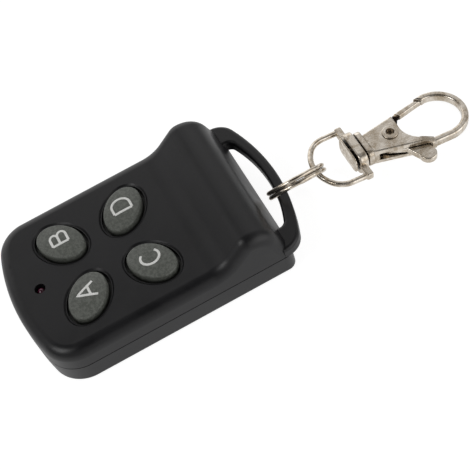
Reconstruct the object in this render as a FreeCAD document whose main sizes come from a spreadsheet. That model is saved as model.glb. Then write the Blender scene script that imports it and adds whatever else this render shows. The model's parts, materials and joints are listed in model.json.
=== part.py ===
import FreeCAD, Part
import math
import os
import Sketcher
from FreeCAD import Placement, Rotation, Vector

# Four-button remote key fob with its split ring and swivel trigger clasp, in millimetres.
# The fob lies on its back with the key face up (+Z), the lamp end towards +Y and the
# split ring towards -Y. The origin lies on the flat back, below the middle of the case.

SIZES = {
    # Case
    "case_lamp_end": 27.2,
    "lamp_end_radius": 50.0,
    "case_corner_radius": 7.5,
    "ring_end_corner_radius": 2.2,
    "side_angle": 0.5,
    "back_angle": 1.5,
    "parting_height": 5.3,
    "face_height": 10.6,
    "wall": 1.4,
    "crease_radius": 2.6,
    "back_edge_radius": 0.9,
    "parting_groove": 0.2,
    "bite": 0.2,
    "overshoot": 1.0,
    "rib_thickness": 1.2,
    "rib_inset": 3.1,
    "rib_end_gap": 3.0,
    "saddle_across": 7.6,
    "saddle_inset": 1.0,
    "end_overrun": 0.2,
    # Battery and the hump over it
    "battery_diameter": 10.1,
    "battery_length": 27.2,
    "battery_place": 21.0,
    "battery_gap": 0.15,
    "battery_headroom": 2.45,
    "battery_neck_inset": 0.7,
    "battery_neck_length": 0.3,
    "battery_button_radius": 2.1,
    "battery_button_length": 1.2,
    "contact_thickness": 0.4,
    "contact_room": 4.0,
    "contact_wall_gap": 1.0,
    "contact_half_width": 3.0,
    "contact_bend": 1.9,
    "contact_low": 3.4,
    "contact_high": 3.6,
    "contact_play": 0.05,
    "contact_foot": 1.6,
    "contact_foot_width": 2.0,
    "hump_radius": 6.0,
    "hump_end_angle": 70.0,
    "step_angle": 40.0,
    "step_cover": 1.15,
    "step_foot_radius": 7.0,
    "step_brow_radius": 3.4,
    # Key-ring rim at the end of the top shell
    "rim_apex": 34.6,
    "rim_radius": 46.0,
    "rim_corner_radius": 4.6,
    "rim_height": 2.4,
    "rim_edge_radius": 0.8,
    "rim_band": 2.3,
    "rim_arm": 6.0,
    "rim_root": 2.2,
    "slot_radius": 34.0,
    "slot_corner_radius": 1.6,
    # Keys
    "key_pitch_across": 15.64,
    "key_pitch_along": 14.72,
    "key_row_centre": 5.0,
    "key_long_radius": 5.72,
    "key_short_radius": 4.0,
    "key_angle": 38.0,
    "key_proud": 1.3,
    "key_dome_radius": 30.0,
    "key_edge_radius": 0.5,
    "key_travel": 0.3,
    "key_moat": 0.7,
    "recess_margin": 1.25,
    "recess_floor_margin": 0.9,
    "recess_depth": 0.3,
    "flange_margin": 1.0,
    "flange_thickness": 0.6,
    "flange_gap": 0.2,
    "stem_radius": 1.5,
    "stem_length": 0.3,
    "mat_gap": 0.25,
    "mat_border": 1.3,
    "mat_side_gap": 1.6,
    # Board and what is soldered to it
    "board_thickness": 1.0,
    "board_height": 3.6,
    "board_side_gap": 1.6,
    "board_end_gap": 2.0,
    "board_battery_gap": 0.8,
    "board_post_gap": 0.7,
    "switch_side": 6.0,
    "switch_height": 1.9,
    "plunger_radius": 1.6,
    "plunger_play": 0.05,
    "plunger_depth": 0.6,
    "plunger_room": 0.2,
    "plunger_key_gap": 0.1,
    "chip_length": 8.6,
    "chip_width": 3.8,
    "chip_thickness": 1.4,
    "chip_stand": 0.15,
    "leg_pitch": 1.27,
    "leg_width": 0.4,
    "leg_thickness": 0.2,
    "leg_foot": 1.1,
    "leg_knee": 0.35,
    "leg_height": 0.85,
    "can_length": 5.0,
    "can_width": 3.4,
    "can_height": 1.3,
    "can_from_keys": 3.4,
    "lid_inset": 0.3,
    "lid_rise": 0.2,
    "track_inset": 0.5,
    "track_width": 1.0,
    "track_thickness": 0.1,
    "track_end": 5.0,
    "part_length": 1.6,
    "part_width": 0.8,
    "part_height": 0.5,
    "part_row_inset": 1.0,
    "part_first": 5.5,
    "part_pitch": 2.5,
    "part_from_lamp": 5.0,
    # Lamp
    "lamp_from_end": 6.7,
    "lamp_hole_radius": 1.2,
    "lamp_radius": 0.95,
    "lamp_flange_radius": 1.4,
    "lamp_flange_height": 0.4,
    "lamp_recess": 0.45,
    "lamp_seat_drop": 0.9,
    "spacer_radius": 1.7,
    # Screws
    "screw_from_side": 4.0,
    "screw_from_lamp_end": 6.6,
    "screw_from_battery": 3.75,
    "screw_radius": 0.9,
    "screw_head_radius": 1.8,
    "screw_head_height": 1.1,
    "screw_grip": 3.4,
    "screw_play": 0.03,
    "screw_sink": 0.3,
    "screw_head_play": 0.2,
    "cross_reach": 1.1,
    "cross_width": 0.4,
    "cross_depth": 0.6,
    "post_radius": 2.2,
    # Split ring
    "ring_middle_radius": 6.35,
    "ring_wire": 0.98,
    "ring_wire_gap": 0.44,
    "ring_ramp_angle": 44.0,
    "ring_end_gap_angle": 7.0,
    "ring_lean_angle": 36.0,
    "ring_across": -4.1,
    "ring_clear_of_rim": 1.05,
    "ring_centre_height": 6.4,
    # Swivel eye, in the clasp's own frame: origin on the swivel axis at the hook's neck
    "clasp_across": -3.5,
    "clasp_angle": 7.8,
    "eye_apex_height": 6.0,
    "eye_apex_clear": 0.55,
    "eye_wire": 1.25,
    "eye_half_width": 6.87,
    "eye_length": 11.1,
    "eye_top_radius": 8.3,
    "eye_side_radius": 4.8,
    "eye_bar_height": 1.7,
    "eye_bar_start": 1.0,
    "eye_bar_length": 1.6,
    "eye_shoulder": 0.7,
    "eye_bar_edge_radius": 0.35,
    "boss_half_width": 4.6,
    "boss_half_height": 2.75,
    "boss_corner_radius": 1.9,
    "boss_length": 2.0,
    "boss_edge_radius": 0.35,
    "swivel_gap": 0.45,
    "swivel_radius": 1.6,
    "swivel_play": 0.05,
    "swivel_depth": 1.2,
    "swivel_head_half_width": 4.0,
    "swivel_head_half_height": 2.1,
    "swivel_head_corner_radius": 1.6,
    "swivel_head_length": 0.35,
    "swivel_head_edge_radius": 0.15,
    # Hook
    "hook_thickness": 4.1,
    "hook_edge_radius": 0.35,
    "slot_height": 1.9,
    "neck_half_width": 3.9,
    "neck_half_height": 2.2,
    "neck_corner_radius": 1.4,
    "neck_edge_radius": 0.3,
    "neck_length": 1.35,
    "neck_left": 3.4,
    "neck_right": 2.0,
    "hook_side": 3.7,
    "hook_side_length": 9.3,
    "throat_across": 0.6,
    "throat_radius": 5.0,
    "throat_depth": 2.2,
    "throat_offset": 0.9,
    "arm_length": 14.6,
    "arm_taper_start": 11.6,
    "slot_start": 2.4,
    "slot_end": 13.4,
    "slot_gate_end": 11.9,
    "arm_web": 1.2,
    "side_wall_end": 6.6,
    "side_wall": 0.8,
    "side_wall_flare": 0.9,
    "loop_across": 0.05,
    "loop_centre": 18.5,
    "loop_radius": 6.0,
    "loop_width": 1.5,
    "loop_thickness": 2.0,
    "loop_edge_radius": 0.5,
    "tip_outer_rise": 2.2,
    "tip_inner_rise": 0.8,
    "tip_lean": 0.4,
    # Trigger
    "pivot_across": -0.4,
    "pivot_place": 6.8,
    "pivot_radius": 1.3,
    "pivot_play": 0.05,
    "pivot_head_radius": 1.8,
    "pivot_head_height": 0.35,
    "pivot_head_edge_radius": 0.15,
    "pivot_dimple_radius": 0.95,
    "pivot_dimple_depth": 1.2,
    "trigger_thickness": 1.5,
    "trigger_edge_radius": 0.3,
    "trigger_hub_radius": 2.3,
    "gate_gap": 0.35,
    "gate_inset": 0.2,
    "thumb_reach": 7.8,
    "thumb_drop": 4.8,
    "thumb_radius": 1.9,
    "thumb_neck_across": 4.6,
    "thumb_neck_upper": 1.4,
    "thumb_neck_lower": 5.8,
    "heel_across": 2.2,
    "heel_rise": 2.9,
    "heel_back_across": 3.2,
    "heel_back_rise": 1.9,
    "crotch_across": 2.6,
    "crotch_drop": 3.8,
    "gate_elbow_across": 4.0,
    "gate_elbow_drop": 4.0,
    "gate_root_across": 1.6,
    "gate_root_drop": 2.5,
    "gate_back_across": 5.2,
    "gate_back_drop": 3.5,
    "gate_shoulder_across": 3.6,
    "gate_shoulder_drop": 1.1,
    "waist_thickness": 0.6,
    "waist_inner_across": 0.8,
    "waist_inner_drop": 3.2,
    "waist_outer_across": 4.2,
    "waist_outer_drop": 0.6,
    "waist_run_across": 1.9,
    "waist_run_drop": 2.65,
    "spring_thickness": 0.3,
    "spring_gap": 0.15,
    "spring_reach": 2.3,
    "spring_lip": 0.25,
    "spring_leg": 1.65,
    "spring_play": 0.05,
}

doc = FreeCAD.newDocument("remote_key_fob")
sheet = doc.addObject("Spreadsheet::Sheet", "Sizes")
for row, (alias, value) in enumerate(SIZES.items(), start=1):
    sheet.set(f"A{row}", alias.replace("_", " "))
    sheet.set(f"B{row}", str(value))
    sheet.setAlias(f"B{row}", alias)
doc.recompute()


class Size:
    """A measure that carries its number and the expression over the sheet that gives it."""

    def __init__(self, number, text):
        self.number = number
        self.text = text

    def __add__(self, other):
        other = measure(other)
        return Size(self.number + other.number, f"({self.text} + {other.text})")

    def __sub__(self, other):
        other = measure(other)
        return Size(self.number - other.number, f"({self.text} - {other.text})")

    def __mul__(self, other):
        other = measure(other)
        return Size(self.number * other.number, f"({self.text} * {other.text})")

    def __truediv__(self, other):
        other = measure(other)
        return Size(self.number / other.number, f"({self.text} / {other.text})")

    def __neg__(self):
        return Size(-self.number, f"(0 - {self.text})")

    def __radd__(self, other):
        return measure(other) + self

    def __rsub__(self, other):
        return measure(other) - self

    def __rmul__(self, other):
        return measure(other) * self


def measure(value):
    return value if isinstance(value, Size) else Size(float(value), f"({float(value)})")


def size(alias):
    return Size(float(sheet.get(alias)), f"Sizes.{alias}")


def sine(angle):
    return Size(math.sin(math.radians(angle.number)), f"sin({angle.text})")


def cosine(angle):
    return Size(math.cos(math.radians(angle.number)), f"cos({angle.text})")


def tangent(angle):
    return Size(math.tan(math.radians(angle.number)), f"tan({angle.text})")


def root(value):
    return Size(math.sqrt(value.number), f"sqrt({value.text})")


# Small pieces of document work that every sub-part uses

def bind(item, **measures):
    """Ties properties to the sheet; a double underscore in a name stands for a dot."""
    for name, value in measures.items():
        item.setExpression(name.replace("__", "."), measure(value).text)


def place(item, x=0, y=0, z=0, axis=None, angle=None):
    """Puts an item at a point, turned about an axis."""
    if axis is not None:
        item.Placement = Placement(Vector(), Rotation(Vector(*axis), 1.0))
        bind(item, Placement__Rotation__Angle=angle)
    bind(item, Placement__Base__x=x, Placement__Base__y=y, Placement__Base__z=z)
    return item


def box(x, y, z):
    """A box from three (low, high) pairs."""
    item = doc.addObject("Part::Box", "Block")
    bind(item, Length=measure(x[1]) - x[0], Width=measure(y[1]) - y[0], Height=measure(z[1]) - z[0])
    return place(item, x[0], y[0], z[0])


def upright(radius, x, y, z):
    """A cylinder along Z over a (low, high) pair of heights."""
    item = doc.addObject("Part::Cylinder", "Round")
    bind(item, Radius=radius, Height=measure(z[1]) - z[0])
    return place(item, x, y, z[0])


def lying(radius, start, length, direction):
    """A cylinder from a start point along +X or +Y."""
    item = doc.addObject("Part::Cylinder", "Bar")
    bind(item, Radius=radius, Height=length)
    axis = {"x": (0, 1, 0), "y": (-1, 0, 0)}[direction]
    return place(item, *start, axis=axis, angle=90)


def fuse(*items):
    item = doc.addObject("Part::MultiFuse", "Fusion")
    item.Shapes = list(items)
    return item


def cut(base, *tools):
    item = doc.addObject("Part::Cut", "Cut")
    item.Base = base
    item.Tool = tools[0] if len(tools) == 1 else fuse(*tools)
    return item


def common(first, second):
    item = doc.addObject("Part::MultiCommon", "Common")
    item.Shapes = [first, second]
    return item


def soften(item, radius, wanted):
    """Rounds the edges of a primitive or boolean that the test picks."""
    doc.recompute()
    rounded = doc.addObject("Part::Fillet", "Softened")
    rounded.Base = item
    rounded.Edges = [(number, radius.number, radius.number)
                     for number, edge in enumerate(item.Shape.Edges, start=1) if wanted(edge)]
    return rounded


def node(item, name):
    """Names a finished sub-part."""
    item.Label = name
    nodes.append(item)
    return item


def outline(sketch, corners):
    """Draws a closed or open outline and ties every corner to the sheet.

    A corner is (x, y), or (x, y, radius, side) where the edge that leaves it is an arc with
    its centre on the left (side 1) or on the right (side -1) of the way it is drawn.
    The last corner is None where the outline stays open.
    """
    closed = corners[-1] is not None
    points = [corner for corner in corners if corner is not None]
    count = len(points) if closed else len(points) - 1
    ends = []
    for index in range(count):
        first = points[index]
        second = points[(index + 1) % len(points)]
        start = Vector(measure(first[0]).number, measure(first[1]).number, 0)
        end = Vector(measure(second[0]).number, measure(second[1]).number, 0)
        if len(first) == 2:
            edge = sketch.addGeometry(Part.LineSegment(start, end), False)
            ends.append((edge, 1, 2))
            continue
        radius, side = measure(first[2]), first[3]
        chord = end - start
        left = Vector(-chord.y, chord.x, 0).normalize()
        rise = math.sqrt(max(radius.number ** 2 - chord.Length ** 2 / 4, 0))
        centre = (start + end) * 0.5 + left * (side * rise)
        first_end, last_end = (1, 2) if side > 0 else (2, 1)
        low, high = (start, end) if side > 0 else (end, start)
        turn_from = math.atan2(low.y - centre.y, low.x - centre.x)
        turn_to = math.atan2(high.y - centre.y, high.x - centre.x)
        if turn_to < turn_from:
            turn_to += 2 * math.pi
        circle = Part.Circle(centre, Vector(0, 0, 1), radius.number)
        edge = sketch.addGeometry(Part.ArcOfCircle(circle, turn_from, turn_to), False)
        ends.append((edge, first_end, last_end))
        number = sketch.addConstraint(Sketcher.Constraint("Radius", edge, radius.number))
        sketch.setExpression(f"Constraints[{number}]", radius.text)
    for index, (edge, first_end, last_end) in enumerate(ends):
        tie_point(sketch, edge, first_end, points[index])
        if index + 1 < len(ends):
            follower, follower_start, _ = ends[index + 1]
            sketch.addConstraint(Sketcher.Constraint("Coincident", edge, last_end, follower, follower_start))
    edge, _, last_end = ends[-1]
    if closed:
        sketch.addConstraint(Sketcher.Constraint("Coincident", edge, last_end, ends[0][0], ends[0][1]))
    else:
        tie_point(sketch, edge, last_end, points[-1])


def tie_point(sketch, edge, end, corner):
    for kind, value in (("DistanceX", measure(corner[0])), ("DistanceY", measure(corner[1]))):
        number = sketch.addConstraint(Sketcher.Constraint(kind, edge, end, value.number))
        sketch.setExpression(f"Constraints[{number}]", value.text)


def body_sketch(body, plane, corners, offset=0):
    """A sketch on one of the body's own planes, moved along the plane's normal."""
    sketch = body.newObject("Sketcher::SketchObject", "Outline")
    sketch.AttachmentSupport = [(feature, "") for feature in body.Origin.OriginFeatures
                                if feature.Role == plane]
    sketch.MapMode = "FlatFace"
    bind(sketch, AttachmentOffset__Base__z=offset)
    outline(sketch, corners)
    return sketch


def pad(body, sketch, length, taper=None, both_ways=False, downwards=False):
    item = body.newObject("PartDesign::Pad", "Pad")
    item.Profile = sketch
    bind(item, Length=length)
    if taper is not None:
        bind(item, TaperAngle=taper)
    item.Midplane = both_ways
    item.Reversed = downwards
    return item


def pocket(body, sketch, length, both_ways=False, upwards=False):
    item = body.newObject("PartDesign::Pocket", "Pocket")
    item.Profile = sketch
    bind(item, Length=length)
    item.Midplane = both_ways
    item.Reversed = upwards
    return item


def round_edges(body, radius, wanted):
    """Rounds the edges of the body's last feature that the test picks."""
    doc.recompute()
    base = body.Tip
    names = [f"Edge{number}" for number, edge in enumerate(base.Shape.Edges, start=1) if wanted(edge)]
    item = body.newObject("PartDesign::Fillet", "Rounding")
    item.Base = (base, names)
    bind(item, Radius=radius)
    return item


def lies_at(edge, height):
    """True where a level edge lies that far above or below the middle plane."""
    return abs(abs(middle_of(edge).z) - height) < 0.01 and abs(edge.tangentAt(edge.FirstParameter).z) < 0.01


def is_circle(edge):
    return isinstance(edge.Curve, Part.Circle)


def middle_of(edge):
    return edge.valueAt((edge.FirstParameter + edge.LastParameter) / 2)


nodes = []


# Case outline, seen from above

def end_arch(half_width, apex, radius, corner):
    """Centre height and tangent point of a broad arc that meets two upright sides in corner arcs."""
    across = half_width - corner
    drop = root((radius - corner) * (radius - corner) - across * across)
    corner_centre = apex - radius + drop
    reach = radius / (radius - corner)
    return corner_centre, across * reach, apex - radius + drop * reach


wall = size("wall")
half_width = size("battery_length") / 2 + size("contact_room") + wall
past = size("overshoot")
bite = size("bite")
parting = size("parting_height")
face = size("face_height")
battery_radius = size("battery_diameter") / 2
battery_y = -size("battery_place")
battery_z = wall + size("battery_gap") + battery_radius
hump_top = wall + size("battery_gap") + size("battery_diameter") + size("battery_headroom") + wall
hump_radius = size("hump_radius")
end_angle = size("hump_end_angle")
step_angle = size("step_angle")
end_tangent = battery_y - hump_radius * sine(end_angle)
end_tangent_height = hump_top - hump_radius + hump_radius * cosine(end_angle)
ring_end = end_tangent - (end_tangent_height - parting) / tangent(end_angle)
brow_height = hump_top - size("step_brow_radius")
brow_y = (battery_y * sine(step_angle) + battery_z * cosine(step_angle) + battery_radius
          + size("battery_gap") + size("step_cover") + wall - size("step_brow_radius")
          - brow_height * cosine(step_angle)) / sine(step_angle)
foot_height = face + size("step_foot_radius")
foot_y = brow_y + (size("step_brow_radius") + size("step_foot_radius")
                   - (foot_height - brow_height) * cosine(step_angle)) / sine(step_angle)


def case_outline(inset, end):
    """The case from above, drawn in by an inset, with its ring end at a given place."""
    half = half_width - inset
    corner = size("case_corner_radius") - inset
    radius = size("lamp_end_radius") - inset
    corner_y, arc_x, arc_y = end_arch(half, size("case_lamp_end") - inset, radius, corner)
    small = size("ring_end_corner_radius")
    return [
        (half, end + small),
        (half, corner_y, corner, 1),
        (arc_x, arc_y, radius, 1),
        (-arc_x, arc_y, corner, 1),
        (-half, corner_y),
        (-half, end + small, small, 1),
        (small - half, end),
        (half - small, end, small, 1),
    ]


def top_form(name, inset):
    """The top shell's solid form: tapered sides under the face, the step and the hump."""
    clear = half_width * 3
    body = doc.addObject("PartDesign::Body", name)
    plan = body_sketch(body, "XY_Plane", case_outline(inset, ring_end - size("end_overrun") + inset), parting)
    pad(body, plan, hump_top - parting + past, -size("side_angle"))
    foot = size("step_foot_radius") + inset
    brow = size("step_brow_radius") - inset
    rear = hump_radius - inset
    low = parting - past
    along, up = sine(step_angle), cosine(step_angle)
    rear_y = battery_y - rear * sine(end_angle)
    rear_height = hump_top - hump_radius + rear * cosine(end_angle)
    skyline = [
        (clear, face - inset),
        (foot_y, face - inset, foot, -1),
        (foot_y - foot * along, foot_height - foot * up),
        (brow_y + brow * along, brow_height + brow * up, brow, 1),
        (brow_y, hump_top - inset),
        (battery_y, hump_top - inset, rear, 1),
        (rear_y, rear_height),
        (rear_y - (rear_height - low) / tangent(end_angle), low),
        (-clear, low),
        (-clear, hump_top + past * 2),
        (clear, hump_top + past * 2),
    ]
    above = body_sketch(body, "YZ_Plane", skyline)
    pocket(body, above, clear, both_ways=True)
    return body


def side_at(height):
    return half_width.number - (height - parting.number) * math.tan(math.radians(size("side_angle").number))


def on_crease(edge):
    """Edges between the slanted sides and what lies on top of them."""
    point = middle_of(edge)
    direction = edge.tangentAt((edge.FirstParameter + edge.LastParameter) / 2)
    on_side = abs(abs(point.x) - side_at(point.z)) < 0.02
    at_lamp_end = abs(point.z - face.number) < 0.01 and point.y > 0
    return (on_side or at_lamp_end) and abs(direction.z) < 0.96 and point.z > parting.number + 0.5


outer_form = top_form("top_outside", measure(0))
round_edges(outer_form, size("crease_radius"), on_crease)
inner_form = top_form("top_inside", wall)


def rim_body():
    """The arched bar that the split ring goes round, with its two arms along the case sides."""
    body = doc.addObject("PartDesign::Body", "rim")
    corner_y, arc_x, arc_y = end_arch(half_width, size("rim_apex"), size("rim_radius"), size("rim_corner_radius"))
    inner_half = half_width - size("rim_arm")
    inner_apex = size("rim_apex") - size("rim_band")
    slot_corner_y, slot_x, slot_y = end_arch(inner_half, inner_apex, size("slot_radius"),
                                             size("slot_corner_radius"))
    root_y = ring_end + size("rim_root")
    outside = [
        (half_width, root_y),
        (-half_width, root_y),
        (-half_width, -corner_y, size("rim_corner_radius"), 1),
        (-arc_x, -arc_y, size("rim_radius"), 1),
        (arc_x, -arc_y, size("rim_corner_radius"), 1),
        (half_width, -corner_y),
    ]
    inside = [
        (inner_half, root_y + past),
        (-inner_half, root_y + past),
        (-inner_half, -slot_corner_y, size("slot_corner_radius"), 1),
        (-slot_x, -slot_y, size("slot_radius"), 1),
        (slot_x, -slot_y, size("slot_corner_radius"), 1),
        (inner_half, -slot_corner_y),
    ]
    pad(body, body_sketch(body, "XY_Plane", outside, parting), size("rim_height"), -size("side_angle"))
    slot = body_sketch(body, "XY_Plane", inside, parting + size("rim_height"))
    pocket(body, slot, size("rim_height"))
    top = parting.number + size("rim_height").number

    def on_rim_top(edge):
        point = middle_of(edge)
        return abs(point.z - top) < 0.01 and point.y < root_y.number - past.number

    round_edges(body, size("rim_edge_radius"), on_rim_top)
    return body


# Keys: their places and their slanted ellipses

KEYS = {"a": (-1, 1), "b": (1, 1), "c": (-1, -1), "d": (1, -1)}


def key_place(letter):
    across, along = KEYS[letter]
    return (size("key_pitch_across") / 2 * across,
            size("key_row_centre") + size("key_pitch_along") / 2 * along)


def key_curve(letter, margin, height):
    """The slanted ellipse of a key, larger than the key by a margin."""
    across, along = KEYS[letter]
    curve = doc.addObject("Part::Ellipse", "KeyEllipse")
    bind(curve, MajorRadius=size("key_long_radius") + margin, MinorRadius=size("key_short_radius") + margin)
    curve.Placement = Placement(Vector(), Rotation(Vector(0, 0, across * along), 1.0))
    bind(curve, Placement__Rotation__Angle=size("key_angle"))
    x, y = key_place(letter)
    bind(curve, Placement__Base__x=x, Placement__Base__y=y, Placement__Base__z=height)
    return curve


def key_ellipse(letter, margin, low, high):
    """An upright elliptical block at a key."""
    block = doc.addObject("Part::Extrusion", "KeyBlock")
    block.Base = key_curve(letter, margin, low)
    block.DirMode = "Custom"
    block.Dir = Vector(0, 0, 1)
    block.Solid = True
    bind(block, LengthFwd=measure(high) - low)
    return block


def key_dish(letter):
    """The shallow recess round a key, with its sloped wall, from its floor to above the face."""
    floor_margin, margin = size("recess_floor_margin"), size("recess_margin")
    slope = (margin - floor_margin) / size("recess_depth")
    dish = doc.addObject("Part::Loft", "KeyDish")
    dish.Sections = [key_curve(letter, floor_margin, face - size("recess_depth")),
                     key_curve(letter, margin + slope * past, face + past)]
    dish.Solid = True
    dish.Ruled = True
    return dish


LEGS_PER_SIDE = 7
PARTS_PER_ROW = 3

ceiling = face - wall
board_top = size("board_height") + size("board_thickness")
board_edge = battery_y + battery_radius + size("board_battery_gap")
lamp_y = size("case_lamp_end") - size("lamp_from_end")
screw_x = half_width - wall - size("screw_from_side")
screw_lamp_y = size("case_lamp_end") - size("screw_from_lamp_end")
screw_ring_y = battery_y + battery_radius + size("screw_from_battery")
screw_places = [(-screw_x, screw_lamp_y), (screw_x, screw_lamp_y), (measure(0), screw_ring_y)]
board_half = half_width - wall - size("board_side_gap")
board_lamp_step = screw_lamp_y - size("post_radius") - size("board_post_gap")
screw_bore = size("screw_radius") + size("screw_play")


def make_top_shell():
    shell = fuse(cut(outer_form, inner_form), rim_body(),
                 *[upright(size("post_radius"), x, y, (parting, ceiling + wall / 2)) for x, y in screw_places])
    openings = []
    for letter in KEYS:
        openings.append(key_ellipse(letter, size("key_moat"), ceiling - past, face + past))
        openings.append(key_dish(letter))
    openings.append(upright(size("lamp_hole_radius"), 0, lamp_y, (ceiling - past, face + past)))
    for x, y in screw_places:
        openings.append(upright(screw_bore, x, y, (parting - past, parting + size("screw_grip") + bite)))
    return node(cut(shell, *openings), "top_shell")


def make_bottom_shell():
    body = doc.addObject("PartDesign::Body", "tray")
    groove = size("parting_groove")
    plan = body_sketch(body, "XY_Plane", case_outline(measure(0), ring_end), parting - groove)
    pad(body, plan, parting - groove, -size("back_angle"), downwards=True)
    lip = body_sketch(body, "XY_Plane", case_outline(groove, ring_end + groove), parting)
    pad(body, lip, groove, downwards=True)
    hollow = body_sketch(body, "XY_Plane", case_outline(wall, ring_end + wall), parting)
    pocket(body, hollow, parting - wall)

    def on_back_edge(edge):
        return abs(middle_of(edge).z) < 0.01

    round_edges(body, size("back_edge_radius"), on_back_edge)
    additions = [upright(size("post_radius"), x, y, (wall / 2, parting)) for x, y in screw_places]
    half_rib = size("rib_thickness") / 2
    half_saddle = battery_radius - size("saddle_inset")
    for across in (-1, 1):
        rib = (board_half - size("rib_inset")) * across
        additions.append(box((rib - half_rib, rib + half_rib),
                             (size("rib_end_gap") + screw_ring_y,
                              board_lamp_step - size("rib_end_gap")),
                             (wall / 2, size("board_height"))))
        saddle = size("saddle_across") * across
        additions.append(cut(
            box((saddle - half_rib, saddle + half_rib), (battery_y - half_saddle, battery_y + half_saddle),
                (wall / 2, parting)),
            lying(battery_radius + size("battery_gap"), (saddle - half_rib - past, battery_y, battery_z),
                  half_rib * 2 + past * 2, "x")))
    tray = fuse(body, *additions)
    bores = []
    for x, y in screw_places:
        bores.append(upright(screw_bore, x, y, (-past, parting + past)))
        bores.append(upright(size("screw_head_radius") + size("screw_head_play"), x, y,
                             (-past, size("screw_sink") + size("screw_head_height"))))
    return node(cut(tray, *bores), "bottom_shell")


def make_screws():
    """Three pan-head screws, sunk below the back, that hold the shells together."""
    screws = []
    head_low = size("screw_sink")
    head_high = head_low + size("screw_head_height")
    reach, half = size("cross_reach"), size("cross_width") / 2
    deep = (head_low - past, head_low + size("cross_depth"))
    for x, y in screw_places:
        head = upright(size("screw_head_radius"), x, y, (head_low, head_high))
        shank = upright(size("screw_radius"), x, y, (head_high - bite, parting + size("screw_grip")))
        slots = [box((x - reach, x + reach), (y - half, y + half), deep),
                 box((x - half, x + half), (y - reach, y + reach), deep)]
        screws.append(cut(fuse(head, shank), *slots))
    return node(fuse(*screws), "case_screws")


def make_key(letter):
    """A silicone key: a domed ellipse, its flange under the face and its stem over the switch."""
    x, y = key_place(letter)
    flange_top = ceiling - size("flange_gap")
    flange_low = flange_top - size("flange_thickness")
    top = face + size("key_proud")
    dome = doc.addObject("Part::Sphere", "KeyDome")
    bind(dome, Radius=size("key_dome_radius"))
    place(dome, x, y, top - size("key_dome_radius"))
    cap = common(key_ellipse(letter, measure(0), flange_low, top + past), dome)
    rounded = soften(cap, size("key_edge_radius"), lambda edge: middle_of(edge).z > face.number)
    flange = key_ellipse(letter, size("flange_margin"), flange_low, flange_top)
    stem = upright(size("stem_radius"), x, y, (flange_low - size("stem_length"), flange_low + bite))
    return node(fuse(rounded, flange, stem), f"key_{letter}")


def make_mat():
    """The silicone web round the keys, under the top face."""
    middle = size("key_row_centre")
    low = ceiling - size("flange_gap") - size("flange_thickness")
    margin = size("flange_margin") + size("mat_gap")
    long_radius, short_radius = size("key_long_radius") + margin, size("key_short_radius") + margin
    turn_sine, turn_cosine = sine(size("key_angle")), cosine(size("key_angle"))
    reach_x = half_width - wall - size("mat_side_gap")
    reach_y = size("key_pitch_along") / 2 + size("mat_border") + root(
        long_radius * long_radius * turn_sine * turn_sine
        + short_radius * short_radius * turn_cosine * turn_cosine)
    body = doc.addObject("PartDesign::Body", "mat")
    plan = [(reach_x, middle - reach_y), (reach_x, middle + reach_y),
            (-reach_x, middle + reach_y), (-reach_x, middle - reach_y)]
    pad(body, body_sketch(body, "XY_Plane", plan, low), ceiling - low)
    holes = [key_ellipse(letter, margin, low - past, ceiling + past) for letter in KEYS]
    holes += [upright(size("post_radius") + size("mat_gap"), x, y, (low - past, ceiling + past))
              for x, y in screw_places]
    holes.append(upright(size("lamp_flange_radius") + size("mat_gap"), 0, lamp_y,
                         (low - past, ceiling + past)))
    return node(cut(body, *holes), "keypad_mat")


def make_board():
    """The circuit board, stepped round the three screw posts."""
    half = board_half
    low = board_edge
    notch = size("post_radius") + size("board_post_gap")
    tongue = screw_x - notch
    tongue_end = size("case_lamp_end") - wall - size("board_end_gap")
    step = board_lamp_step
    plan = [
        (half, low),
        (half, step),
        (tongue, step),
        (tongue, tongue_end),
        (-tongue, tongue_end),
        (-tongue, step),
        (-half, step),
        (-half, low),
        (-notch, low),
        (-notch, notch + screw_ring_y),
        (notch, notch + screw_ring_y),
        (notch, low),
    ]
    body = doc.addObject("PartDesign::Body", "board")
    pad(body, body_sketch(body, "XY_Plane", plan, size("board_height")), size("board_thickness"))
    return node(body, "circuit_board")


def make_switch(letter):
    """A push switch under a key, and the plunger that the key presses."""
    x, y = key_place(letter)
    half = size("switch_side") / 2
    top = board_top + size("switch_height")
    flange_low = ceiling - size("flange_gap") - size("flange_thickness")
    plunger_top = flange_low - size("stem_length") - size("plunger_key_gap")
    case = box((x - half, x + half), (y - half, y + half), (board_top, top))
    bore = upright(size("plunger_radius") + size("plunger_play"), x, y,
                   (top - size("plunger_depth") - size("key_travel") - size("plunger_room"), top + past))
    node(cut(case, bore), f"switch_{letter}")
    node(upright(size("plunger_radius"), x, y, (top - size("plunger_depth"), plunger_top)),
         f"switch_plunger_{letter}")


def make_lamp():
    y = lamp_y
    flange_low = ceiling - size("lamp_seat_drop")
    node(upright(size("spacer_radius"), 0, y, (board_top, flange_low)), "lamp_spacer")
    flange = upright(size("lamp_flange_radius"), 0, y, (flange_low, flange_low + size("lamp_flange_height")))
    dome_height = face - size("lamp_recess") - size("lamp_radius")
    stem = upright(size("lamp_radius"), 0, y, (flange_low, dome_height))
    dome = doc.addObject("Part::Sphere", "Dome")
    dome.Angle1 = 0
    bind(dome, Radius=size("lamp_radius"))
    place(dome, 0, y, dome_height)
    node(fuse(flange, stem, dome), "signal_lamp")


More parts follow.
